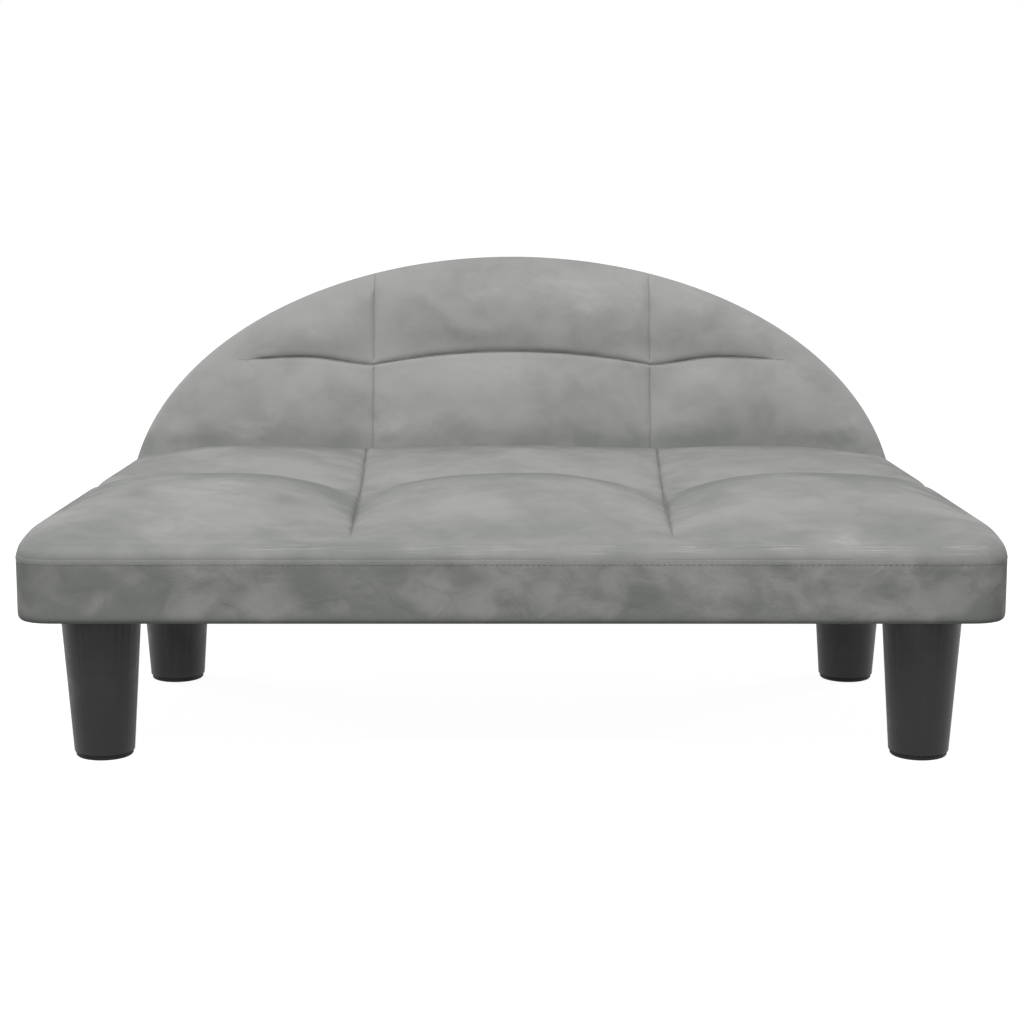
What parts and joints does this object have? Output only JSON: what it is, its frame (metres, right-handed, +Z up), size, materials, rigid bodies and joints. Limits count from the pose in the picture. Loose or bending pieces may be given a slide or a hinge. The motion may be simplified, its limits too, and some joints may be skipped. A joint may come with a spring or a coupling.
{
  "type": "dog sofa bed",
  "caption": "Low quilted pet sofa bed: padded seat on tapered screw-in legs, with a leaning half-oval padded backrest.",
  "frame": {"origin": "middle of the bounding box's footprint, on the floor under the foot pads", "axes": "+X across the seat to the right as seen from the front, -Y towards the front, +Z up"},
  "size_m": [0.7076, 0.5046, 0.3347],
  "materials": {
    "velvet": "soft pile",
    "back_fabric": "flat weave",
    "dust_fabric": "non-woven",
    "foam": "open cell",
    "pine": "sawn",
    "plywood": "sanded",
    "leg_plastic": "fine satin grain",
    "pad_plastic": "matte",
    "zinc_steel": "zinc plated"
  },
  "bodies": {
    "bed": {"front_rail": "pine", "rear_rail": "pine", "side_rail_left": "pine", "side_rail_right": "pine", "centre_batten": "pine", "leg_block_front_left": "pine", "leg_block_front_right": "pine", "leg_block_rear_left": "pine", "leg_block_rear_right": "pine", "frame_screws": "zinc_steel", "seat_deck": "plywood", "deck_screws": "zinc_steel", "seat_foam": "foam", "seat_cover": "velvet", "dust_cover": "dust_fabric", "dust_cover_staples": "zinc_steel", "back_board": "plywood", "back_cleat": "pine", "cleat_screws": "zinc_steel", "back_foam": "foam", "back_cover": "velvet", "back_panel": "back_fabric", "back_screws": "zinc_steel", "back_screw_washers": "zinc_steel", "leg_t_nuts": "zinc_steel"},
    "front_left_washer": {"leg_washer_front_left": "pad_plastic"},
    "front_left_leg": {"leg_front_left": "leg_plastic", "leg_stud_front_left": "zinc_steel", "foot_pad_front_left": "pad_plastic"},
    "front_right_washer": {"leg_washer_front_right": "pad_plastic"},
    "front_right_leg": {"leg_front_right": "leg_plastic", "leg_stud_front_right": "zinc_steel", "foot_pad_front_right": "pad_plastic"},
    "rear_left_washer": {"leg_washer_rear_left": "pad_plastic"},
    "rear_left_leg": {"leg_rear_left": "leg_plastic", "leg_stud_rear_left": "zinc_steel", "foot_pad_rear_left": "pad_plastic"},
    "rear_right_washer": {"leg_washer_rear_right": "pad_plastic"},
    "rear_right_leg": {"leg_rear_right": "leg_plastic", "leg_stud_rear_right": "zinc_steel", "foot_pad_rear_right": "pad_plastic"}
  },
  "joints": [
    {"name": "front_left_drop", "type": "slide", "parent": "bed", "child": "front_left_washer", "axis": [0, 0, -1], "range_m": [0, 0.01]},
    {"name": "front_left_turn", "type": "hinge", "parent": "front_left_washer", "child": "front_left_leg", "pos_m": [-0.29889, -0.20225, 0.1055], "axis": [0, 0, -1], "range_deg": [0, 2880]},
    {"name": "front_right_drop", "type": "slide", "parent": "bed", "child": "front_right_washer", "axis": [0, 0, -1], "range_m": [0, 0.01]},
    {"name": "front_right_turn", "type": "hinge", "parent": "front_right_washer", "child": "front_right_leg", "pos_m": [0.29889, -0.20225, 0.1055], "axis": [0, 0, -1], "range_deg": [0, 2880]},
    {"name": "rear_left_drop", "type": "slide", "parent": "bed", "child": "rear_left_washer", "axis": [0, 0, -1], "range_m": [0, 0.01]},
    {"name": "rear_left_turn", "type": "hinge", "parent": "rear_left_washer", "child": "rear_left_leg", "pos_m": [-0.2769, 0.03474, 0.1055], "axis": [0, 0, -1], "range_deg": [0, 2880]},
    {"name": "rear_right_drop", "type": "slide", "parent": "bed", "child": "rear_right_washer", "axis": [0, 0, -1], "range_m": [0, 0.01]},
    {"name": "rear_right_turn", "type": "hinge", "parent": "rear_right_washer", "child": "rear_right_leg", "pos_m": [0.2769, 0.03474, 0.1055], "axis": [0, 0, -1], "range_deg": [0, 2880]}
  ],
  "couplings": [
    {"joint": "front_left_drop", "follows": "front_left_turn", "m_per_rad": 0.00019894},
    {"joint": "front_right_drop", "follows": "front_right_turn", "m_per_rad": 0.00019894},
    {"joint": "rear_left_drop", "follows": "rear_left_turn", "m_per_rad": 0.00019894},
    {"joint": "rear_right_drop", "follows": "rear_right_turn", "m_per_rad": 0.00019894}
  ]
}
